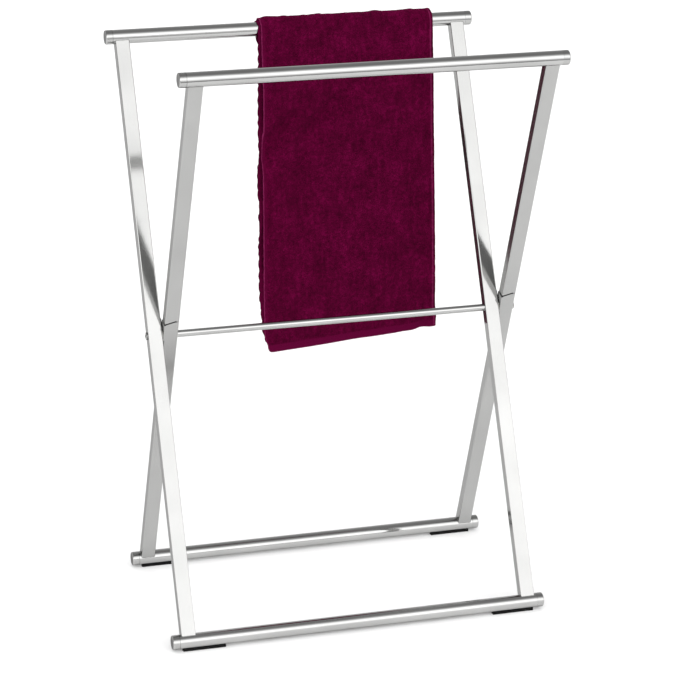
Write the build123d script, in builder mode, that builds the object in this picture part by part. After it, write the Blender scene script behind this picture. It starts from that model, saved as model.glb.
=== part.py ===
from build123d import *

import os
from math import atan2, cos, degrees, hypot, pi, radians, sin, tan

# Folding towel rack: two rectangular frames of stainless tube that cross like scissors, a round
# rail across each end of both frames, a thinner rail along the pivot, and a towel on the rear
# top rail. X runs along the rails, +Y points to the back and +Z up. The origin is on the floor,
# under the middle of the rack. Millimetres.
#
# Frame A: rear top rail, legs that lean forward to the floor, front bottom rail.
# Frame B: front top rail, legs that lean back to the floor, rear bottom rail. It stands one leg
# width to the right of frame A, so that the crossing legs pass side by side.

# Driving dimensions
HEIGHT = 800.0  # floor to the top of the top rails, opened
RAIL_LENGTH = 540.0  # with both end caps
RAIL_D = 20.0
HALF_DEPTH = 165.0  # from the pivot to each rail's axis, front to back
LEG_WIDTH = 20.0  # along the rails
LEG_DEPTH = 15.0
LEG_INSET = 23.0  # from a rail's end to the middle of its leg
MIDDLE_RAIL_D = 10.0
TOWEL_WIDTH = 260.0  # folded once lengthwise, with the open edges a little apart
TOWEL_LENGTH = 960.0  # from end to end, before it is hung
TOWEL_LEFT = -62.0  # where its left edge hangs along the rail

# Tube and cap details
RAIL_R = RAIL_D / 2
RAIL_WALL = 1.2
LEG_WALL = 1.2
LEG_CORNER_R = 1.6
MIDDLE_RAIL_WALL = 1.0
CAP_LENGTH = 10.0
CAP_EDGE_R = 1.8
CAP_SEAM = 0.4  # chamfer where a cap meets its tube
SPIGOT_LENGTH = 14.0
SPIGOT_WALL = 2.0
SPIGOT_FIT = 0.05
SPIGOT_R = RAIL_R - RAIL_WALL - SPIGOT_FIT

# Foot pads
FOOT_HEIGHT = 3.0  # rubber under the rail
PAD_LENGTH = 60.0
PAD_WIDTH = 10.0
PAD_TOP = 4.0
PAD_INSET = 15.0  # from the rail's end
PAD_CORNER_R = 1.0
PEG_R = 2.5
PEG_HOLE_R = 2.55
PEG_SPACING = 36.0
PEG_LENGTH = 5.0  # above the rail's underside

# Pivot
SCREW_R = 3.0
SCREW_HEAD_R = 5.5
SCREW_HEAD_HEIGHT = 2.0
SCREW_CROWN_R = 1.2
SCREW_SOCKET_ACROSS = 4.0
SCREW_SOCKET_DEPTH = 1.2
THREAD_DEPTH = 12.0
INSERT_LENGTH = 16.0
INSERT_R = MIDDLE_RAIL_D / 2 - MIDDLE_RAIL_WALL
RUNNING_FIT = 0.05
CLEAR_FIT = 0.1
THREAD_FIT = 0.01
BUSH_R = 4.5
WASHER_R = 7.0
WASHER_THICKNESS = 0.5
SIDE_PLAY = 0.3  # between pieces that turn past each other
SHEET = 0.8  # thickness of the stop brackets

# Stop brackets on frame B's legs, in each leg's own directions: across, front to back, along
SLOT_HEIGHT = 22.0  # above the pivot, at the leg's inner edge
SLOT_SLANT = 16.0
SLOT_WIDTH = 2.4
SLOT_END = 6.0  # across, from the leg's middle
SLOT_BACK = 4.0  # how far the slot runs back from the leg's middle
OVERCUT = 1.0  # the slot's cut starts this far outside the leg
TAB_DEPTH = 2.6  # how far the bracket's tab reaches into the slot
TAB_END_GAP = 1.0  # from the tab's end to the slot's
FLANGE_TOP_GAP = 0.3  # from the flange's top to the slot's lower side
WEB_BOTTOM = -4.0
WEB_RIGHT = 9.0
LIP_REACH = 8.0  # over the back of the other frame's leg
LIP_TOP = 23.0
LIP_BOTTOM = 13.0
STOP_GAP = 0.35

# Towel
TOWEL_THICKNESS = 7.0  # two layers of terry
TOWEL_INNER_R = RAIL_R + 0.3
TOWEL_OUTER_R = TOWEL_INNER_R + TOWEL_THICKNESS
TOWEL_BACK_SHORTER = 30.0  # the back half hangs this much higher

# Places that follow from the sizes above
BOTTOM_Z = FOOT_HEIGHT + RAIL_R
TOP_Z = HEIGHT - RAIL_R
PIVOT_Z = (BOTTOM_Z + TOP_Z) / 2
LEG_REACH = hypot(HALF_DEPTH, TOP_Z - PIVOT_Z)  # pivot to a rail's axis
LEAN = degrees(atan2(HALF_DEPTH, TOP_Z - PIVOT_Z))
LEG_GAP = SHEET + SIDE_PLAY + WASHER_THICKNESS
FRAME_SHIFT = (LEG_WIDTH + LEG_GAP) / 2
FRAME_A_X = -FRAME_SHIFT
FRAME_B_X = FRAME_SHIFT
LEG_X = RAIL_LENGTH / 2 - LEG_INSET
TUBE_LENGTH = RAIL_LENGTH - 2 * CAP_LENGTH
PAD_X = RAIL_LENGTH / 2 - PAD_INSET - PAD_LENGTH / 2
INNER_FACE = LEG_X - FRAME_SHIFT - LEG_WIDTH / 2  # the middle rail fits between these faces
OUTER_FACE = LEG_X + FRAME_SHIFT + LEG_WIDTH / 2

os.makedirs("parts", exist_ok=True)


def write(piece, node):
    piece.part.label = node
    export_step(piece.part, f"parts/{node}.step")


def across(x, y=0.0, z=PIVOT_Z):
    """A plane that faces +X, with its own x along Y and its own y along Z."""
    return Plane(origin=(x, y, z), x_dir=(0, 1, 0), z_dir=(1, 0, 0))


def along_leg(x, lean):
    """A leg's plane at the pivot: x across, y to the back, z up along the leg."""
    tilt = radians(lean)
    return Plane(origin=(x, 0, PIVOT_Z), x_dir=(1, 0, 0), z_dir=(0, sin(tilt), cos(tilt)))


def make_rail(node, x, y, z, has_feet):
    """A round tube; a bottom rail has holes for its foot pads' pegs."""
    with BuildPart() as rail:
        with BuildSketch(across(x - TUBE_LENGTH / 2, y, z)):
            Circle(RAIL_R)
            Circle(RAIL_R - RAIL_WALL, mode=Mode.SUBTRACT)
        extrude(amount=TUBE_LENGTH)
        if has_feet:
            for pad_x in (x - PAD_X, x + PAD_X):
                with Locations((pad_x, y, z - RAIL_R)):
                    with GridLocations(PEG_SPACING, 0, 2, 1):
                        Cylinder(PEG_HOLE_R, RAIL_R, mode=Mode.SUBTRACT)
    write(rail, node)


def make_cap(node, x, y, z, side):
    """An end plug, flush with its tube. side is -1 at a rail's left end and 1 at its right."""
    seam = Plane(origin=(x + side * TUBE_LENGTH / 2, y, z), z_dir=(side, 0, 0))
    with BuildPart() as cap:
        with BuildSketch(seam):
            Circle(RAIL_R)
        extrude(amount=CAP_LENGTH)
        rims = cap.edges().filter_by(GeomType.CIRCLE).sort_by(Axis.X, reverse=side > 0)
        fillet(rims[0], CAP_EDGE_R)
        chamfer(rims[-1], CAP_SEAM)
        with BuildSketch(seam):
            Circle(SPIGOT_R)
        extrude(amount=-SPIGOT_LENGTH)
        with BuildSketch(seam.offset(-SPIGOT_LENGTH)):
            Circle(SPIGOT_R - SPIGOT_WALL)
        extrude(amount=SPIGOT_LENGTH, mode=Mode.SUBTRACT)
    write(cap, node)


def make_leg(node, x, lean, hole_r, has_slot):
    """A rectangular tube, coped to fit both rails and bored across at the pivot."""
    plane = along_leg(x, lean)
    with BuildPart() as leg:
        with BuildSketch(plane.offset(-LEG_REACH)):
            RectangleRounded(LEG_WIDTH, LEG_DEPTH, LEG_CORNER_R)
            RectangleRounded(
                LEG_WIDTH - 2 * LEG_WALL,
                LEG_DEPTH - 2 * LEG_WALL,
                LEG_CORNER_R - LEG_WALL,
                mode=Mode.SUBTRACT,
            )
        extrude(amount=2 * LEG_REACH)
        top_y = HALF_DEPTH if lean > 0 else -HALF_DEPTH
        with Locations((x, top_y, TOP_Z), (x, -top_y, BOTTOM_Z)):
            Cylinder(RAIL_R, 2 * LEG_WIDTH, rotation=(0, 90, 0), mode=Mode.SUBTRACT)
        with Locations((x, 0, PIVOT_Z)):
            Cylinder(hole_r, 2 * LEG_WIDTH, rotation=(0, 90, 0), mode=Mode.SUBTRACT)
        if has_slot:
            with BuildSketch(plane.rotated((90, 0, 0)).offset(-SLOT_BACK)):
                slot_outline(SLOT_WIDTH, -LEG_WIDTH / 2 - OVERCUT, SLOT_END)
            extrude(amount=LEG_DEPTH, mode=Mode.SUBTRACT)
    write(leg, node)


def slot_line(across_leg, above=0.0):
    """Height above the pivot of the slanting slot's lower side."""
    return SLOT_HEIGHT + above + (across_leg + LEG_WIDTH / 2) * tan(radians(SLOT_SLANT))


def slot_outline(width, left, right):
    """A band across the front of a leg that follows the slot, seen from the front."""
    Polygon(
        (left, slot_line(left)),
        (right, slot_line(right)),
        (right, slot_line(right, width)),
        (left, slot_line(left, width)),
        align=None,
    )


def make_stop_bracket(node, x):
    """Folded sheet on a leg of frame B. Its web covers the leg's front, a tab hooks into the
    leg's slot, its flange lies between the crossing legs, and its lip meets the back of frame
    A's leg when the rack is open."""
    leg_b = along_leg(x, -LEAN)
    left = -LEG_WIDTH / 2
    flange_left = x + left - SHEET
    front = leg_b.rotated((90, 0, 0))
    with BuildPart() as bracket:
        with BuildSketch(front.offset(LEG_DEPTH / 2)):
            Polygon(
                (left - SHEET, WEB_BOTTOM),
                (WEB_RIGHT, WEB_BOTTOM),
                (WEB_RIGHT, slot_line(WEB_RIGHT)),
                (left - SHEET, slot_line(left - SHEET)),
                align=None,
            )
        extrude(amount=SHEET)
        with BuildSketch(front.offset(LEG_DEPTH / 2 - TAB_DEPTH)):
            slot_outline(SHEET, left + LEG_CORNER_R, SLOT_END - TAB_END_GAP)
        extrude(amount=TAB_DEPTH + SHEET)
        with BuildSketch(across(flange_left)):
            with Locations(Rotation(0, 0, LEAN)):
                flange_top = SLOT_HEIGHT - FLANGE_TOP_GAP
                flange_arm(-LEG_DEPTH / 2 - SHEET, LEG_DEPTH / 2, WEB_BOTTOM, flange_top)
            with Locations(Rotation(0, 0, -LEAN)):
                flange_arm(-WASHER_R / 2, LEG_DEPTH / 2 + STOP_GAP + SHEET, WEB_BOTTOM, LIP_TOP)
            Circle(SCREW_R + SIDE_PLAY, mode=Mode.SUBTRACT)
        extrude(amount=SHEET)
        with BuildSketch(across(flange_left)):
            with Locations(Rotation(0, 0, -LEAN)):
                lip_front = LEG_DEPTH / 2 + STOP_GAP
                flange_arm(lip_front, lip_front + SHEET, LIP_BOTTOM, LIP_TOP)
        extrude(amount=-LIP_REACH)
    write(bracket, node)


def flange_arm(back_from, back_to, bottom, top):
    """A rectangle beside a leg: front to back, and along the leg."""
    with Locations(((back_from + back_to) / 2, (bottom + top) / 2)):
        Rectangle(back_to - back_from, top - bottom)


def make_ring(node, x, inner_r, outer_r, length):
    """A washer, bush or sleeve around the pivot's axis, from x towards +X."""
    with BuildPart() as ring:
        with BuildSketch(across(x)):
            Circle(outer_r)
            Circle(inner_r, mode=Mode.SUBTRACT)
        extrude(amount=length)
    write(ring, node)


def make_pivot_screw(node, head_x, inward):
    """A button head on the outer leg and a shank through both legs into the middle rail.
    inward is 1 for the left screw and -1 for the right."""
    under_head = Plane(origin=(head_x, 0, PIVOT_Z), x_dir=(0, 1, 0), z_dir=(inward, 0, 0))
    tip = abs(head_x) - INNER_FACE + THREAD_DEPTH
    with BuildPart() as screw:
        with BuildSketch(under_head):
            Circle(SCREW_HEAD_R)
        extrude(amount=-SCREW_HEAD_HEIGHT)
        crown = screw.faces().sort_by(Axis.X, reverse=inward < 0)[0]
        fillet(crown.edges(), SCREW_CROWN_R)
        with BuildSketch(under_head.offset(-SCREW_HEAD_HEIGHT)):
            RegularPolygon(SCREW_SOCKET_ACROSS / 2, 6, major_radius=False)
        extrude(amount=SCREW_SOCKET_DEPTH, mode=Mode.SUBTRACT)
        with BuildSketch(under_head):
            Circle(SCREW_R)
        extrude(amount=tip)
    write(screw, node)


def make_foot_pad(node, x, y):
    """A rubber saddle under a bottom rail, with two pegs that push up into the tube."""
    with BuildPart() as pad:
        with BuildSketch(Plane.XY):
            with Locations((x, y)):
                RectangleRounded(PAD_LENGTH, PAD_WIDTH, PAD_CORNER_R)
        extrude(amount=PAD_TOP)
        with Locations((x, y, BOTTOM_Z)):
            Cylinder(RAIL_R, 2 * PAD_LENGTH, rotation=(0, 90, 0), mode=Mode.SUBTRACT)
        with Locations((x, y, FOOT_HEIGHT / 2)):
            with GridLocations(PEG_SPACING, 0, 2, 1):
                bottom_up = (Align.CENTER, Align.CENTER, Align.MIN)
                Cylinder(PEG_R, FOOT_HEIGHT / 2 + PEG_LENGTH, align=bottom_up)
    write(pad, node)


# Rails, their end caps and the bottom rails' foot pads
for rail_name, frame_x, rail_y, rail_z in (
    ("rear_top", FRAME_A_X, HALF_DEPTH, TOP_Z),
    ("front_bottom", FRAME_A_X, -HALF_DEPTH, BOTTOM_Z),
    ("front_top", FRAME_B_X, -HALF_DEPTH, TOP_Z),
    ("rear_bottom", FRAME_B_X, HALF_DEPTH, BOTTOM_Z),
):
    is_bottom = rail_z == BOTTOM_Z
    make_rail(f"{rail_name}_rail", frame_x, rail_y, rail_z, has_feet=is_bottom)
    for side_name, side in (("left", -1), ("right", 1)):
        make_cap(f"{rail_name}_cap_{side_name}", frame_x, rail_y, rail_z, side)
        if is_bottom:
            pad_name = f"{rail_name.split('_')[0]}_foot_pad_{side_name}"
            make_foot_pad(pad_name, frame_x + side * PAD_X, rail_y)

# Legs, and what turns between them at each side
for side_name, side in (("left", -1), ("right", 1)):
    leg_a_x = FRAME_A_X + side * LEG_X
    leg_b_x = FRAME_B_X + side * LEG_X
    make_leg(f"frame_a_leg_{side_name}", leg_a_x, LEAN, SCREW_R + CLEAR_FIT, has_slot=False)
    make_leg(f"frame_b_leg_{side_name}", leg_b_x, -LEAN, BUSH_R, has_slot=True)
    make_stop_bracket(f"stop_bracket_{side_name}", leg_b_x)
    make_ring(
        f"leg_washer_{side_name}",
        leg_a_x + LEG_WIDTH / 2,
        SCREW_R + CLEAR_FIT,
        WASHER_R,
        WASHER_THICKNESS,
    )
    make_ring(
        f"crush_sleeve_{side_name}",
        leg_a_x - LEG_WIDTH / 2 + LEG_WALL,
        SCREW_R + CLEAR_FIT,
        BUSH_R,
        LEG_WIDTH - 2 * LEG_WALL,
    )
    make_ring(
        f"pivot_bush_{side_name}",
        leg_b_x - LEG_WIDTH / 2,
        SCREW_R + RUNNING_FIT,
        BUSH_R,
        LEG_WIDTH,
    )

# Middle rail between the inner legs. Frame B's left leg turns against a washer on the rail's end.
MIDDLE_LEFT = -INNER_FACE + SIDE_PLAY + WASHER_THICKNESS
MIDDLE_LENGTH = INNER_FACE - MIDDLE_LEFT
with BuildPart() as middle_rail:
    with BuildSketch(across(MIDDLE_LEFT)):
        Circle(MIDDLE_RAIL_D / 2)
        Circle(INSERT_R, mode=Mode.SUBTRACT)
    extrude(amount=MIDDLE_LENGTH)
write(middle_rail, "middle_rail")

THREAD_R = SCREW_R + THREAD_FIT
make_ring("threaded_insert_left", MIDDLE_LEFT, THREAD_R, INSERT_R, INSERT_LENGTH)
make_ring("threaded_insert_right", INNER_FACE - INSERT_LENGTH, THREAD_R, INSERT_R, INSERT_LENGTH)
make_ring(
    "middle_rail_washer",
    MIDDLE_LEFT - WASHER_THICKNESS,
    SCREW_R + CLEAR_FIT,
    MIDDLE_RAIL_D / 2,
    WASHER_THICKNESS,
)
make_ring(
    "screw_head_washer",
    OUTER_FACE + SIDE_PLAY,
    SCREW_R + CLEAR_FIT,
    SCREW_HEAD_R,
    WASHER_THICKNESS,
)
make_pivot_screw("pivot_screw_left", -OUTER_FACE, inward=1)
make_pivot_screw("pivot_screw_right", OUTER_FACE + SIDE_PLAY + WASHER_THICKNESS, inward=-1)

# Towel, folded lengthwise and hung over the rear top rail, as one closed solid
PANEL_Y = TOWEL_INNER_R + TOWEL_THICKNESS / 2
OVER_RAIL = pi * PANEL_Y
FRONT_DROP = (TOWEL_LENGTH - OVER_RAIL + TOWEL_BACK_SHORTER) / 2
BACK_DROP = FRONT_DROP - TOWEL_BACK_SHORTER
with BuildPart() as towel:
    with BuildSketch(across(TOWEL_LEFT, HALF_DEPTH, TOP_Z)):
        Circle(TOWEL_OUTER_R)
        with Locations((0, -TOWEL_OUTER_R / 2)):
            Rectangle(2 * TOWEL_OUTER_R, TOWEL_OUTER_R, mode=Mode.SUBTRACT)
        with Locations((-PANEL_Y, -FRONT_DROP / 2)):
            Rectangle(TOWEL_THICKNESS, FRONT_DROP)
        with Locations((PANEL_Y, -BACK_DROP / 2)):
            Rectangle(TOWEL_THICKNESS, BACK_DROP)
        Circle(TOWEL_INNER_R, mode=Mode.SUBTRACT)
    extrude(amount=TOWEL_WIDTH)
write(towel, "towel")
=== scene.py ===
from math import cos, pi, radians, sin

import bpy
from mathutils import Matrix, Vector, noise


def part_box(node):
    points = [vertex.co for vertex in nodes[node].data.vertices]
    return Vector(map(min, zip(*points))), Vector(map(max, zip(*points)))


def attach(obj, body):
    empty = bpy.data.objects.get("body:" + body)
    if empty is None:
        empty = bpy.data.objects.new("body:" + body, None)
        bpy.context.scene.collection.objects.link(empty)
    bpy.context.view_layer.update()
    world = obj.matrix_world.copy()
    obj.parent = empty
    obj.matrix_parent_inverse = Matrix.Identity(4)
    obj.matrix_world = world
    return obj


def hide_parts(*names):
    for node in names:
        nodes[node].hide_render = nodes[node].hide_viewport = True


# The looks of a folding towel rack: polished tubes with welded joints, end caps, rubber feet, and
# a terry hand towel, folded once lengthwise, over the rear top rail. Metres, in the frame's axes.

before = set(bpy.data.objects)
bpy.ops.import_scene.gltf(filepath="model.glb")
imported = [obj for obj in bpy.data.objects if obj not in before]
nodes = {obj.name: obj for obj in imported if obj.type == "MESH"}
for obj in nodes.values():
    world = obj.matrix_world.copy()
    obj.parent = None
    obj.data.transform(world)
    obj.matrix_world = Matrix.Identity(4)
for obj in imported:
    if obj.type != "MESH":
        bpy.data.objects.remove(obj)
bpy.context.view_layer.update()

# Camera: a long lens, in front, a little to the left and above
CAMERA_AIM = Vector((0.0145, 0.0, 0.3676))
CAMERA_DISTANCE = 3.975
CAMERA_YAW = radians(17.37)
CAMERA_PITCH = radians(16.47)
CAMERA_LENS = 148.0
CAMERA_SENSOR = 36.0

# Light, as radiances: 1 is the white of the picture. The room's light by its height above the
# horizon in degrees, from below the front (-90) over the top (90) to the back (180).
ROOM_LIGHT = (
    (-60, 0.26),
    (-24, 0.34),
    (-9, 0.90),
    (6, 1.75),
    (18, 2.25),
    (30, 2.20),
    (38, 1.85),
    (53, 0.85),
    (70, 0.32),
    (95, 0.28),
    (122, 0.36),
    (135, 0.40),
    (150, 0.95),
    (166, 0.95),
    (176, 0.55),
)
BACKGROUND = 1.0
# Very soft distant lights: where each comes from, how wide it is, and its strength
SOFT_LIGHTS = {
    "overhead": ((-0.2, -0.3, 1.0), radians(110), 1.95),
    "back_fill": ((0.3, 1.0, 0.8), radians(60), 0.35),
}
FLOOR_SIZE = 14.0
FLOOR_FRONT = -1.6

# Finishes
RAIL_COLOUR = (0.50, 0.50, 0.495)
RAIL_ROUGHNESS = 0.07
LEG_COLOUR = (0.43, 0.43, 0.425)
LEG_A_ROUGHNESS = 0.12
LEG_B_ROUGHNESS = 0.22
BRACKET_ROUGHNESS = 0.24
LEG_METALLIC = 0.94  # the legs' finish scatters a little light as well
CAP_ROUGHNESS = 0.09
EDGE_DIM = 0.5  # what glancing reflections keep of their strength
CAP_EDGE_DIM = 0.3
GRAIN_WIDTH = 0.0009  # polishing lines
GRAIN_LENGTH = 0.12
CLOUD_SIZE = 0.07  # patches of slightly different tone
SMEAR_SIZE = 0.022  # patches of slightly different polish
CAP_RINGS = 260.0  # turning marks, in radians over the box of a cap

# Welds around the legs' ends
LEG_DEPTH = 0.015
LEG_CORNER = 0.0016
WELD_SIZE = 0.0006
WELD_RIPPLE = 0.0018
POINTS_PER_RIPPLE = 3

# Towel: the sheet's middle surface, before its thickness
PLY = 0.0034  # one layer of terry
LAYER_GAP = 0.0002  # between the two layers where they lie on each other
EDGE_STEP = 0.0032  # the front layer's open edge stands this much inside the back layer's
CELL = 0.0072  # spacing of the simulated grid
HEM = 0.011  # end hems
SELVEDGE = 0.005  # side hems
FOLD_HIGHLIGHT = 0.0045  # the painted highlight beside the fold, from the fold
FOLD_RISE = 0.018  # the front end's hem at the fold, above its lowest corner
BACK_LAYER_RISE = 0.012  # the same hem at the back layer's open corner
BACK_SHORTER = 0.030  # the half behind the rail ends this much higher
GIVE = 0.5  # of what a column is lifted in front, this share isn't passed on to the back
CORNER_PULL = 0.007  # the open corners draw in by this much
FLARE = 0.006  # in front, the fold hangs this much further out at the hem than on the rail
FOLD_KICK = 0.004  # and its corner kicks out by this much more
CORNER_REACH = 0.032  # how far up from the hem a corner is drawn in
KICK_REACH = 0.035
BACK_ASIDE = 0.006  # the half behind the rail hangs this much further right
SCALLOP = 0.0155  # length of one wave of the selvedge
SCALLOP_DEPTH = 0.0018
SCALLOP_REACH = 0.015  # how far in from the edge the waves die out
SWAY = 0.0038  # slow waves of the hanging cloth, front to back, at its hem
RIPPLE = 0.0010  # and small ones
SIDE_SWAY = 0.0010
WAVES_DOWN = 0.45  # how far under the rail the waves are at their full size
CLUMP = 0.0055  # clumps of pile
CLUMP_HEIGHT = 0.00032
SWELL = 0.025  # softer swells of it
SWELL_HEIGHT = 0.0003
BULGE = 0.0022  # the pile's bulges on top of the rail
BULGE_SIZE = 0.011
BULGE_REACH = 0.014  # how far down from the towel's top they go
HEM_THINNER = 0.45  # the share of its thickness that a hem lacks
SETTLE_FRAMES = 30
MAX_DRIFT = Vector((0.0008, 0.006, 0.001))  # how far settling may move a point, each way
FREE_BELOW = 0.10  # how far under the rail's middle a point may drift in full

# Terry: the sizes of its detail, and its colours
LOOP = 0.0019  # a loop of the pile
TUFT = 0.0065  # loops that stand together
NAP = 0.035  # a patch brushed one way
STREAK = (0.006, 0.03, 1.0)  # brush marks, across and along
THREAD = (0.0011, 0.0007, 1.0)  # of the flat-woven hems
PILE_COLOURS = (
    (0.3, (0.036, 0.0004, 0.0094)),
    (0.5, (0.063, 0.0006, 0.0166)),
    (0.72, (0.115, 0.0015, 0.033)),
)
THREAD_LIGHT = (0.096, 0.0017, 0.0292, 1)
THREAD_DARK = (0.067, 0.0010, 0.0187, 1)
# Colour of the painted highlights along the towel's open edge, its ends and beside its fold
EDGE_HIGHLIGHT_COLOUR = (0.20, 0.018, 0.080, 1)


# ---------------------------------------------------------------- node helpers


def new_material(name):
    """A material with nodes, its tree and its Principled shader."""
    made = bpy.data.materials.new(name)
    made.use_nodes = True
    return made, made.node_tree, made.node_tree.nodes["Principled BSDF"]


def link_or_set(tree, socket, value):
    """Links a socket to another, or gives it a constant."""
    if isinstance(value, bpy.types.NodeSocket):
        tree.links.new(value, socket)
    else:
        socket.default_value = value


def add(tree, kind, inputs=None, **settings):
    """A new shader node, with its properties set and its inputs set or linked."""
    made = tree.nodes.new("ShaderNode" + kind)
    for name, value in settings.items():
        setattr(made, name, value)
    for name, value in (inputs or {}).items():
        link_or_set(tree, made.inputs[name], value)
    return made


def ramp(tree, factor, stops):
    """A colour ramp's output. Stops are (position, grey or (r, g, b))."""
    made = add(tree, "ValToRGB", {"Fac": factor})
    elements = made.color_ramp.elements
    while len(elements) < len(stops):
        elements.new(0.5)
    for element, (position, colour) in zip(elements, stops):
        element.position = position
        rgb = colour if hasattr(colour, "__len__") else (colour,) * 3
        element.color = (*rgb, 1.0)
    return made.outputs["Color"]


def mix(tree, factor, a, b):
    """Colour a where factor is 0, and colour b where it is 1."""
    made = add(tree, "Mix", data_type="RGBA")
    link_or_set(tree, made.inputs[0], factor)
    link_or_set(tree, made.inputs[6], a)
    link_or_set(tree, made.inputs[7], b)
    return made.outputs[2]


def calc(tree, operation, a, b=0.0, clamp=False):
    """One operation on two numbers, each a socket or a constant."""
    made = add(tree, "Math", operation=operation, use_clamp=clamp)
    link_or_set(tree, made.inputs[0], a)
    link_or_set(tree, made.inputs[1], b)
    return made.outputs[0]


def noise_of(tree, vector, size, detail=3.0, roughness=0.5):
    """Noise with features about size metres across."""
    made = add(tree, "TexNoise", {"Scale": 1 / size, "Detail": detail, "Roughness": roughness})
    tree.links.new(vector, made.inputs["Vector"])
    return made.outputs["Fac"]


def scaled(colour, factor):
    """A colour, lighter or darker by a factor."""
    return tuple(min(1.0, c * factor) for c in colour)


def bump(tree, shader, height, distance, strength=1.0, below=None):
    """Gives a shader a bump, on top of the normal below it if there is one."""
    made = add(tree, "Bump", {"Strength": strength, "Distance": distance, "Height": height})
    if below:
        tree.links.new(below, made.inputs["Normal"])
    tree.links.new(made.outputs["Normal"], shader.inputs["Normal"])


# ---------------------------------------------------------------- materials


def polished_steel(name, colour, edge, roughness, grain, turn=0.0, metallic=1.0):
    """Polished steel. edge dims its glancing reflections, grain is the polishing lines' size
    along X, Y and Z, and turn leans them about X."""
    made, tree, shader = new_material(name)
    place = add(tree, "TexCoord").outputs["Object"]
    along = add(
        tree,
        "Mapping",
        {"Vector": place, "Rotation": (turn, 0, 0), "Scale": grain},
        vector_type="TEXTURE",
    ).outputs["Vector"]
    lines = add(tree, "TexNoise", {"Vector": along, "Scale": 1.0, "Detail": 4.0}).outputs["Fac"]
    clouds = noise_of(tree, place, CLOUD_SIZE, detail=2.0)
    smears = noise_of(tree, place, SMEAR_SIZE, detail=5.0, roughness=0.65)
    tone = calc(tree, "ADD", calc(tree, "MULTIPLY", lines, 0.35), calc(tree, "MULTIPLY", clouds, 0.65))
    tones = [(0.32, scaled(colour, 0.93)), (0.68, scaled(colour, 1.06))]
    tree.links.new(ramp(tree, tone, tones), shader.inputs["Base Color"])
    wear = calc(tree, "ADD", calc(tree, "MULTIPLY", smears, 0.6), calc(tree, "MULTIPLY", lines, 0.4))
    tree.links.new(
        ramp(tree, wear, [(0.35, roughness * 0.7), (0.62, roughness), (0.8, roughness * 1.9)]),
        shader.inputs["Roughness"],
    )
    bump(tree, shader, lines, 0.00002, 0.35)
    shader.inputs["Metallic"].default_value = metallic
    shader.inputs["Specular Tint"].default_value = (edge, edge, edge, 1.0)
    return made


def turned_cap(name, colour, edge, roughness):
    """A polished cap, with faint turning rings about its own middle on its end face."""
    made, tree, shader = new_material(name)
    coordinates = add(tree, "TexCoord")
    centred = add(tree, "VectorMath", operation="SUBTRACT")
    tree.links.new(coordinates.outputs["Generated"], centred.inputs[0])
    centred.inputs[1].default_value = (0.5, 0.5, 0.5)
    flat = add(tree, "VectorMath", operation="MULTIPLY")
    tree.links.new(centred.outputs[0], flat.inputs[0])
    flat.inputs[1].default_value = (0.0, 1.0, 1.0)
    radius = add(tree, "VectorMath", operation="LENGTH")
    tree.links.new(flat.outputs[0], radius.inputs[0])
    rings = calc(tree, "SINE", calc(tree, "MULTIPLY", radius.outputs["Value"], CAP_RINGS))
    speckle = noise_of(tree, coordinates.outputs["Object"], 0.006, detail=4.0)
    tone = calc(tree, "ADD", calc(tree, "MULTIPLY", rings, 0.08), speckle)
    tones = [(0.3, scaled(colour, 0.92)), (0.7, colour)]
    tree.links.new(ramp(tree, tone, tones), shader.inputs["Base Color"])
    tree.links.new(
        ramp(tree, speckle, [(0.3, roughness * 0.7), (0.75, roughness * 1.6)]),
        shader.inputs["Roughness"],
    )
    bump(tree, shader, rings, 0.00001, 0.3)
    shader.inputs["Metallic"].default_value = 1.0
    shader.inputs["Specular Tint"].default_value = (edge, edge, edge, 1.0)
    return made


def plain_metal(name, colour, roughness, size):
    """Satin metal with a fine even grain."""
    made, tree, shader = new_material(name)
    place = add(tree, "TexCoord").outputs["Object"]
    grain = noise_of(tree, place, size, detail=6.0, roughness=0.7)
    stain = noise_of(tree, place, size * 9, detail=3.0)
    tones = [(0.3, scaled(colour, 0.8)), (0.7, colour)]
    tree.links.new(ramp(tree, stain, tones), shader.inputs["Base Color"])
    tree.links.new(
        ramp(tree, grain, [(0.3, roughness * 0.7), (0.7, roughness * 1.3)]),
        shader.inputs["Roughness"],
    )
    bump(tree, shader, grain, 0.00003, 0.4)
    shader.inputs["Metallic"].default_value = 1.0
    return made


def moulded(name, colour, wear_and_highlight, roughness, size):
    """Moulded rubber or nylon: a fine pitted skin, and a bloom of another tone on it."""
    made, tree, shader = new_material(name)
    place = add(tree, "TexCoord").outputs["Object"]
    pits = add(tree, "TexVoronoi", {"Scale": 1 / size, "Randomness": 1.0})
    tree.links.new(place, pits.inputs["Vector"])
    bloom = noise_of(tree, place, size * 14, detail=6.0, roughness=0.7)
    tree.links.new(ramp(tree, bloom, [(0.4, colour), (0.75, wear_and_highlight)]), shader.inputs["Base Color"])
    tree.links.new(
        ramp(tree, bloom, [(0.35, roughness * 0.85), (0.7, min(1.0, roughness * 1.2))]),
        shader.inputs["Roughness"],
    )
    bump(tree, shader, pits.outputs["Distance"], 0.0001, 0.5)
    shader.inputs["Specular IOR Level"].default_value = 0.12
    return made


def band(tree, distance, width, soft):
    """1 where distance is under width, and 0 beyond, with a soft edge."""
    inside = calc(tree, "SUBTRACT", width, distance)
    return calc(tree, "ADD", calc(tree, "DIVIDE", inside, soft), 0.5, clamp=True)


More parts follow.
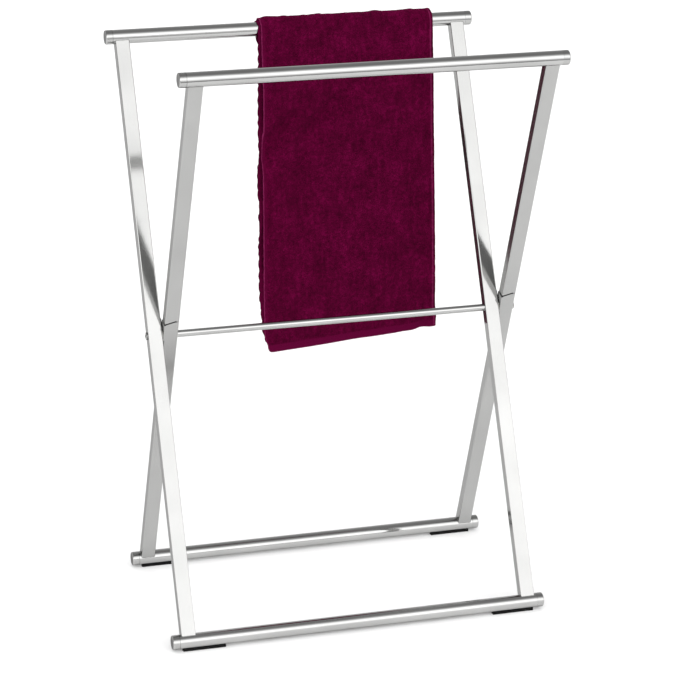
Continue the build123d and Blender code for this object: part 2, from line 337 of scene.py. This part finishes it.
def terry_cloth(name, flat_width, length, fold):
    """Cotton terry with flat-woven hems. The map "cloth" holds the sheet's own coordinates in
    metres: across from the front layer's open edge, and along from the front end."""
    made, tree, shader = new_material(name)
    cloth = add(tree, "UVMap", uv_map="cloth").outputs["UV"]
    place = add(tree, "SeparateXYZ", {"Vector": cloth})
    across, along = place.outputs["X"], place.outputs["Y"]
    from_side = calc(tree, "MINIMUM", across, calc(tree, "SUBTRACT", flat_width, across))
    from_end = calc(tree, "MINIMUM", along, calc(tree, "SUBTRACT", length, along))
    # Distance from the line of the painted fold highlight
    from_fold_highlight = calc(tree, "ABSOLUTE", calc(tree, "SUBTRACT", across, fold - FOLD_HIGHLIGHT))
    woven = calc(
        tree,
        "MAXIMUM",
        band(tree, from_end, HEM, 0.0015),
        calc(tree, "MULTIPLY", band(tree, from_side, SELVEDGE, 0.0010), 0.4),
    )

    loops = add(tree, "TexVoronoi", {"Scale": 1 / LOOP, "Randomness": 0.85})
    tree.links.new(cloth, loops.inputs["Vector"])
    tufts = noise_of(tree, cloth, TUFT, detail=3.0, roughness=0.6)
    nap = noise_of(tree, cloth, NAP, detail=3.0, roughness=0.55)
    brushed = add(tree, "Mapping", {"Vector": cloth, "Scale": STREAK}, vector_type="TEXTURE")
    streaks = add(tree, "TexNoise", {"Scale": 1.0, "Detail": 2.0})
    tree.links.new(brushed.outputs["Vector"], streaks.inputs["Vector"])

    shade = calc(tree, "MULTIPLY", loops.outputs["Distance"], -0.28)
    shade = calc(tree, "ADD", shade, calc(tree, "MULTIPLY", tufts, 0.5))
    shade = calc(tree, "ADD", shade, calc(tree, "MULTIPLY", nap, 0.45))
    shade = calc(tree, "ADD", shade, calc(tree, "MULTIPLY", streaks.outputs["Fac"], 0.3))
    pile = ramp(tree, shade, PILE_COLOURS)

    threads = add(tree, "Mapping", {"Vector": cloth, "Scale": THREAD}, vector_type="TEXTURE")
    checker = add(tree, "TexChecker", {"Vector": threads.outputs["Vector"], "Scale": 1.0})
    weave = checker.outputs["Fac"]
    colour = mix(tree, woven, pile, mix(tree, weave, THREAD_LIGHT, THREAD_DARK))
    # Painted highlights: a thin lighter line along the front layer's open edge and both ends, and a
    # fainter one beside the fold, patchy with the tufts.
    wear_and_highlight = calc(
        tree,
        "MAXIMUM",
        band(tree, calc(tree, "MINIMUM", across, from_end), 0.0011, 0.0012),
        calc(tree, "MULTIPLY", band(tree, from_fold_highlight, 0.0007, 0.0016), 0.8),
    )
    wear_and_highlight = calc(tree, "MULTIPLY", wear_and_highlight, calc(tree, "MULTIPLY", tufts, 1.3))
    colour = mix(tree, wear_and_highlight, colour, EDGE_HIGHLIGHT_COLOUR)
    tree.links.new(colour, shader.inputs["Base Color"])

    height = calc(tree, "ADD", loops.outputs["Distance"], calc(tree, "MULTIPLY", tufts, -1.2))
    height = calc(tree, "MULTIPLY", height, calc(tree, "SUBTRACT", 1.0, woven))
    pile_bump = add(tree, "Bump", {"Strength": 0.9, "Distance": 0.0011, "Height": height}, invert=True)
    thread_height = calc(tree, "MULTIPLY", weave, woven)
    bump(tree, shader, thread_height, 0.0002, 0.5, below=pile_bump.outputs["Normal"])
    shader.inputs["Roughness"].default_value = 0.95
    shader.inputs["Specular IOR Level"].default_value = 0.02
    shader.inputs["Sheen Weight"].default_value = 0.04
    shader.inputs["Sheen Roughness"].default_value = 0.4
    shader.inputs["Sheen Tint"].default_value = (1.0, 0.03, 0.35, 1.0)
    return made


def floor_paint(name):
    """Pale matt paint with a faint cloudiness."""
    made, tree, shader = new_material(name)
    place = add(tree, "TexCoord").outputs["Object"]
    cloud = noise_of(tree, place, 1.4, detail=2.0)
    tree.links.new(ramp(tree, cloud, [(0.3, 0.87), (0.7, 0.90)]), shader.inputs["Base Color"])
    shader.inputs["Roughness"].default_value = 1.0
    shader.inputs["Specular IOR Level"].default_value = 0.0
    return made


def dress_frame():
    """Gives every CAD node the material of what it is made from."""
    rise = middle_of("rear_top_rail") - middle_of("front_bottom_rail")
    lean = rise.yz.angle_signed(Vector((0, 1)))
    rail_grain = (GRAIN_LENGTH, GRAIN_WIDTH, GRAIN_WIDTH)
    leg_grain = (GRAIN_WIDTH, GRAIN_WIDTH, GRAIN_LENGTH)

    def leg_finish(name, roughness, turn):
        return polished_steel(name, LEG_COLOUR, EDGE_DIM, roughness, leg_grain, turn, LEG_METALLIC)

    rail = polished_steel("rail_steel", RAIL_COLOUR, EDGE_DIM, RAIL_ROUGHNESS, rail_grain)
    # The first word found in a node's name decides, so "cap" comes before "rail".
    looks = [
        ("frame_a_leg", leg_finish("leg_a_steel", LEG_A_ROUGHNESS, -lean)),
        ("frame_b_leg", leg_finish("leg_b_steel", LEG_B_ROUGHNESS, lean)),
        ("washer", moulded("nylon", (0.62, 0.62, 0.58), (0.70, 0.70, 0.66), 0.5, 0.0006)),
        ("bush", moulded("bush_nylon", (0.60, 0.60, 0.56), (0.68, 0.68, 0.64), 0.45, 0.0006)),
        ("pad", moulded("foot_rubber", (0.003, 0.003, 0.0032), (0.009, 0.009, 0.009), 0.75, 0.0008)),
        ("cap", turned_cap("cap_steel", RAIL_COLOUR, CAP_EDGE_DIM, CAP_ROUGHNESS)),
        ("bracket", leg_finish("bracket_steel", BRACKET_ROUGHNESS, lean)),
        ("pivot_screw", plain_metal("screw_steel", (0.27, 0.27, 0.265), 0.18, 0.0008)),
        ("sleeve", plain_metal("sleeve_steel", (0.36, 0.36, 0.35), 0.35, 0.0010)),
        ("insert", plain_metal("insert_steel", (0.36, 0.36, 0.35), 0.35, 0.0010)),
        ("rail", rail),
    ]
    for name, piece in nodes.items():
        if name == "towel":
            continue
        look = next(made for word, made in looks if word in name)
        piece.data.materials.clear()
        piece.data.materials.append(look)


def middle_of(name):
    """The middle of a node's box."""
    low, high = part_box(name)
    return (low + high) / 2


# ---------------------------------------------------------------- welds


def leg_outline(half_width, half_depth, corner, spacing):
    """Points around a leg's rounded section, as (across, front to back), side by side."""
    points = []
    for turn in range(4):
        side, end = (half_width, half_depth) if turn % 2 == 0 else (half_depth, half_width)
        way = Matrix.Rotation(turn * pi / 2, 2)
        steps = round(2 * (end - corner) / spacing)
        for i in range(steps):
            points.append(way @ Vector((side, corner - end + 2 * (end - corner) * i / steps)))
        for i in range(4):
            angle = pi / 2 * i / 4
            middle = Vector((side - corner, end - corner))
            points.append(way @ (middle + corner * Vector((cos(angle), sin(angle)))))
    return points


def make_weld(leg, rail, far_rail, body, look):
    """A thin bead around the end of a leg, where it is coped over its rail."""
    leg_low, leg_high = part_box(leg)
    rail_low, rail_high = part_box(rail)
    radius = (rail_high.z - rail_low.z) / 2
    middle = Vector(((leg_low.x + leg_high.x) / 2, *middle_of(rail).yz))
    inward = middle_of(far_rail) - middle_of(rail)
    inward.x = 0
    inward.normalize()
    to_front = Vector((0, -inward.z, inward.y))
    half_width = (leg_high.x - leg_low.x) / 2
    spacing = WELD_RIPPLE / POINTS_PER_RIPPLE
    outline = leg_outline(half_width, LEG_DEPTH / 2, LEG_CORNER, spacing)
    curve = bpy.data.curves.new(f"weld_{leg}_{rail}", "CURVE")
    curve.dimensions = "3D"
    curve.bevel_depth = WELD_SIZE
    curve.bevel_resolution = 2
    bead = curve.splines.new("POLY")
    bead.points.add(len(outline) - 1)
    bead.use_cyclic_u = True
    for number, (point, (across, depth)) in enumerate(zip(bead.points, outline)):
        reach = (radius**2 - depth**2) ** 0.5
        place = middle + inward * reach + to_front * depth + Vector((across, 0, 0))
        point.co = (*place, 1.0)
        ripple = cos(number * 2 * pi / POINTS_PER_RIPPLE)
        point.radius = 0.85 + 0.15 * ripple + 0.12 * noise.noise(place / 0.003)
    made = bpy.data.objects.new(curve.name, curve)
    bpy.context.scene.collection.objects.link(made)
    made.data.materials.append(look)
    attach(made, body)


def make_welds():
    """A bead at both ends of all four legs."""
    look = plain_metal("weld_steel", (0.40, 0.40, 0.395), 0.24, 0.0006)
    for body, top_rail, bottom_rail in (
        ("frame_a", "rear_top_rail", "front_bottom_rail"),
        ("frame_b", "front_top_rail", "rear_bottom_rail"),
    ):
        for side in ("left", "right"):
            make_weld(f"{body}_leg_{side}", top_rail, bottom_rail, body, look)
            make_weld(f"{body}_leg_{side}", bottom_rail, top_rail, body, look)


# ---------------------------------------------------------------- towel


def smooth(x):
    """0 below 0, 1 above 1, and a smooth rise between."""
    x = max(0.0, min(1.0, x))
    return x * x * (3 - 2 * x)


def towel_columns(left, right):
    """The sheet's columns across its width, from the front layer's open edge round the fold to
    the back layer's open edge, as (x, offset from the middle of the two layers, distance)."""
    half = (PLY + LAYER_GAP) / 2
    turn_x = right - PLY / 2 - half
    front_left = left + EDGE_STEP
    count = round((turn_x - front_left) / CELL)
    step = (turn_x - front_left) / count
    columns = [(front_left + i * step, half, i * step) for i in range(count + 1)]
    width = turn_x - front_left
    for quarter in (0.25, 0.5, 0.75):
        angle = pi * quarter
        columns.append((turn_x + half * sin(angle), half * cos(angle), width + half * angle))
    width += half * pi
    count = round((turn_x - left) / CELL)
    step = (turn_x - left) / count
    columns += [(turn_x - i * step, -half, width + i * step) for i in range(count + 1)]
    return columns


def front_hem_height(share, bottom):
    """How high the front end hangs: lowest at the front layer's open corner, share 0, highest
    at the fold, and between the two at the back layer's open corner, share 1."""
    if share < 0.5:
        return bottom + FOLD_RISE * (0.8 * share / 0.5 + 0.2 * smooth(share / 0.5))
    return bottom + FOLD_RISE - (FOLD_RISE - BACK_LAYER_RISE) * smooth((share - 0.5) / 0.5)


def drawn_aside(x, left, right, hang, from_end, is_back):
    """How far to the right of its column a point hangs: the open corners draw in, the fold of
    the front half swings out low down, its corner most, and the back half hangs further right."""
    share = (x - left) / (right - left)
    corner = CORNER_PULL * smooth(1 - from_end / CORNER_REACH) * smooth(1 - 3 * share)
    if is_back:
        return corner + BACK_ASIDE * smooth(hang / 0.03)
    kick = FOLD_KICK * smooth(1 - from_end / KICK_REACH) * smooth(3 * share - 2)
    return corner + kick + FLARE * share * smooth(hang / 0.42)


def draped_point(offset, distance, bottom, rail, middle_radius):
    """A point of a layer, distance up from its front end, over the rail and down the back, as
    (y from the rail's axis, z)."""
    radius = middle_radius + offset
    rise = rail.z - bottom
    if distance <= rise:
        return -radius, bottom + distance
    angle = (distance - rise) / radius
    if angle <= pi:
        return -radius * cos(angle), rail.z + radius * sin(angle)
    return radius, rail.z - (distance - rise - pi * radius)


def make_towel_mesh():
    """The folded towel as one sheet, hung over the rail and not yet settled."""
    low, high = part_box("towel")
    rail = middle_of("rear_top_rail")
    middle_radius = (high.y - low.y) / 2 - PLY - LAYER_GAP / 2
    length = 2 * (rail.z - low.z) - BACK_SHORTER + pi * middle_radius
    columns = towel_columns(low.x, high.x)
    flat_width = columns[-1][2]
    rows = round(length / CELL)
    vertices, cloth = [], []
    for x, offset, across in columns:
        bottom = front_hem_height(across / flat_width, low.z)
        drawn_in = 1 - GIVE * (bottom - low.z) / length
        for row in range(rows + 1):
            distance = length * row / rows
            y, z = draped_point(offset, distance * drawn_in, bottom, rail, middle_radius)
            low_down = smooth((rail.z - z) / WAVES_DOWN)
            sway = noise.noise(Vector((x * 14, y * 9, z * 2.0 + 7)))
            ripple = noise.noise(Vector((x * 45, y * 5 + 3, z * 5)))
            pull = low_down * (SWAY * sway + RIPPLE * ripple)
            from_end = min(distance, length - distance)
            aside = drawn_aside(x, low.x, high.x, rail.z - z, from_end, is_back=y > 0)
            vertices.append((x + aside + SIDE_SWAY * sway * low_down, rail.y + y + pull, z))
            cloth.append((across, distance))
    faces = []
    for c in range(len(columns) - 1):
        for r in range(rows):
            a = c * (rows + 1) + r
            faces.append((a, a + 1, a + rows + 2, a + rows + 1))
    mesh = bpy.data.meshes.new("folded_towel")
    mesh.from_pydata(vertices, [], faces)
    uv = mesh.uv_layers.new(name="cloth")
    for loop in mesh.loops:
        uv.data[loop.index].uv = cloth[loop.vertex_index]
    towel = bpy.data.objects.new("folded_towel", mesh)
    bpy.context.scene.collection.objects.link(towel)
    pinned = towel.vertex_groups.new(name="on_the_rail")
    crest = [i for i, v in enumerate(vertices) if v[2] > rail.z + middle_radius * 0.8]
    pinned.add(crest, 1.0, "REPLACE")
    return towel, flat_width, length


def settle(towel):
    """Lets the towel hang on its rail, under gravity and on itself."""
    low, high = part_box("rear_top_rail")
    middle = (low + high) / 2
    bpy.ops.mesh.primitive_cylinder_add(
        vertices=48,
        radius=(high.z - low.z) / 2,
        depth=high.x - low.x,
        location=middle,
        rotation=(0, pi / 2, 0),
    )
    collider = bpy.context.object
    collider.modifiers.new("collision", "COLLISION")
    collider.collision.thickness_outer = 0.0005
    collider.collision.cloth_friction = 30.0

    cloth = towel.modifiers.new("cloth", "CLOTH")
    cloth.settings.quality = 7
    cloth.settings.mass = 0.35
    cloth.settings.air_damping = 3.0
    cloth.settings.tension_stiffness = 40.0
    cloth.settings.compression_stiffness = 30.0
    cloth.settings.shear_stiffness = 12.0
    cloth.settings.bending_stiffness = 1.2
    cloth.settings.vertex_group_mass = "on_the_rail"
    cloth.collision_settings.collision_quality = 2
    cloth.collision_settings.distance_min = 0.001
    cloth.collision_settings.use_self_collision = True
    cloth.collision_settings.self_distance_min = 0.0028
    cloth.point_cache.frame_end = SETTLE_FRAMES
    scene = bpy.context.scene
    for number in range(1, SETTLE_FRAMES + 1):
        scene.frame_set(number)
    graph = bpy.context.evaluated_depsgraph_get()
    hung = [v.co.copy() for v in towel.evaluated_get(graph).data.vertices]
    towel.modifiers.remove(cloth)
    bpy.data.objects.remove(collider)
    scene.frame_set(1)
    for vertex, place in zip(towel.data.vertices, hung):
        freedom = MAX_DRIFT * smooth((middle.z - vertex.co.z) / FREE_BELOW)
        step = place - vertex.co
        vertex.co += Vector(max(-most, min(most, move)) for move, most in zip(step, freedom))


def raise_pile(towel, flat_width, length):
    """Subdivides the sheet, gives its pile uneven height and bulges on top of the rail, scallops
    its selvedges, and thickens it, less along its flat hems."""
    smoother = towel.modifiers.new("finer", "SUBSURF")
    smoother.levels = smoother.render_levels = 1
    graph = bpy.context.evaluated_depsgraph_get()
    towel.data = bpy.data.meshes.new_from_object(towel.evaluated_get(graph))
    towel.modifiers.clear()
    mesh = towel.data
    cloth = [None] * len(mesh.vertices)
    uv = mesh.uv_layers["cloth"].data
    for loop in mesh.loops:
        cloth[loop.vertex_index] = uv[loop.index].uv
    thickness = towel.vertex_groups.new(name="thickness")
    normals = [v.normal.copy() for v in mesh.vertices]
    top = max(v.co.z for v in mesh.vertices)
    for vertex, normal, (across, along) in zip(mesh.vertices, normals, cloth):
        from_end = min(along, length - along)
        from_side = min(across, flat_width - across)
        flat = max(1 - smooth((from_end - HEM) / 0.003), 1 - smooth((from_side - SELVEDGE) / 0.002))
        thickness.add([vertex.index], 1.0 - HEM_THINNER * flat, "REPLACE")
        clumps = noise.noise(Vector((across, along, 0.3)) / CLUMP)
        soft = noise.noise(Vector((across, along, 0.7)) / SWELL)
        crest = smooth(1 - (top - vertex.co.z) / BULGE_REACH)
        lump = noise.noise(Vector((from_side, along / 4, 0.5)) / BULGE_SIZE)
        vertex.co += normal * (1 - flat) * (CLUMP_HEIGHT * clumps + SWELL_HEIGHT * soft)
        vertex.co.z += BULGE * crest * max(0.0, lump)
        if from_side < SCALLOP_REACH:
            uneven = noise.noise(Vector((along / 0.03, across, 0)))
            wave = SCALLOP_DEPTH * abs(sin(pi * along / SCALLOP + 1.8 * uneven)) + 0.0009 * uneven
            layer = 1.0 if across > flat_width / 2 else 0.25  # most on the back layer
            vertex.co.x -= layer * (wave - SCALLOP_DEPTH / 2) * (1 - from_side / SCALLOP_REACH)
    mesh.shade_smooth()
    thick = towel.modifiers.new("thickness", "SOLIDIFY")
    thick.thickness = PLY
    thick.offset = 0.0
    thick.vertex_group = "thickness"
    thick.thickness_vertex_group = 0.0
    thick.use_even_offset = False


def make_towel():
    """The folded towel, settled on its rail, in place of its plain CAD solid."""
    towel, flat_width, length = make_towel_mesh()
    settle(towel)
    raise_pile(towel, flat_width, length)
    fold = (flat_width - EDGE_STEP) / 2
    towel.data.materials.append(terry_cloth("terry", flat_width, length, fold))
    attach(towel, "towel")
    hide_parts("towel")


# ---------------------------------------------------------------- stage, light and camera


def make_floor():
    """A pale floor, from a little in front of the rack to far behind it."""
    bpy.ops.mesh.primitive_plane_add(size=1.0, location=(0, FLOOR_FRONT + FLOOR_SIZE / 2, 0))
    floor = bpy.context.object
    floor.name = "floor"
    floor.scale = (FLOOR_SIZE, FLOOR_SIZE, 1.0)
    floor.data.materials.append(floor_paint("floor_paint"))


def make_room():
    """A dim room with one broad soft light along its front, as mirrors show it."""
    world = bpy.data.worlds.new("studio")
    bpy.context.scene.world = world
    world.use_nodes = True
    tree = world.node_tree
    way = add(tree, "SeparateXYZ")
    tree.links.new(add(tree, "TexCoord").outputs["Generated"], way.inputs["Vector"])
    forward = calc(tree, "MULTIPLY", way.outputs["Y"], -1.0)
    angle = calc(tree, "ARCTAN2", way.outputs["Z"], forward)
    turn = calc(tree, "ADD", calc(tree, "DIVIDE", angle, 2 * pi), 0.5)
    light = ramp(tree, turn, [(degrees / 360 + 0.5, radiance) for degrees, radiance in ROOM_LIGHT])
    seen_directly = add(tree, "LightPath").outputs["Is Camera Ray"]
    shown = mix(tree, seen_directly, light, (BACKGROUND, BACKGROUND, BACKGROUND, 1))
    tree.links.new(shown, tree.nodes["Background"].inputs["Color"])


def make_soft_light(name, comes_from, spread, strength):
    """A distant light that evens out the floor and the cloth, and that no mirror shows."""
    light = bpy.data.lights.new(name, "SUN")
    light.angle = spread
    light.energy = strength
    made = bpy.data.objects.new(name, light)
    made.rotation_euler = Vector(comes_from).to_track_quat("Z", "Y").to_euler()
    made.visible_glossy = False
    bpy.context.scene.collection.objects.link(made)


def make_camera():
    """The camera at the photograph's viewing angle."""
    camera = bpy.data.cameras.new("camera")
    camera.lens = CAMERA_LENS
    camera.sensor_width = CAMERA_SENSOR
    made = bpy.data.objects.new("camera", camera)
    turn = Matrix.Rotation(-CAMERA_YAW, 4, "Z") @ Matrix.Rotation(pi / 2 - CAMERA_PITCH, 4, "X")
    back = Matrix.Translation((0, 0, CAMERA_DISTANCE))
    made.matrix_world = Matrix.Translation(CAMERA_AIM) @ turn @ back
    bpy.context.scene.collection.objects.link(made)
    bpy.context.scene.camera = made


def make_stage():
    """Floor, room and lights. Standard keeps the photograph's whites white."""
    make_floor()
    make_room()
    for name, settings in SOFT_LIGHTS.items():
        make_soft_light(name, *settings)
    bpy.context.scene.view_settings.view_transform = "Standard"


make_camera()
make_stage()
dress_frame()
make_welds()
make_towel()
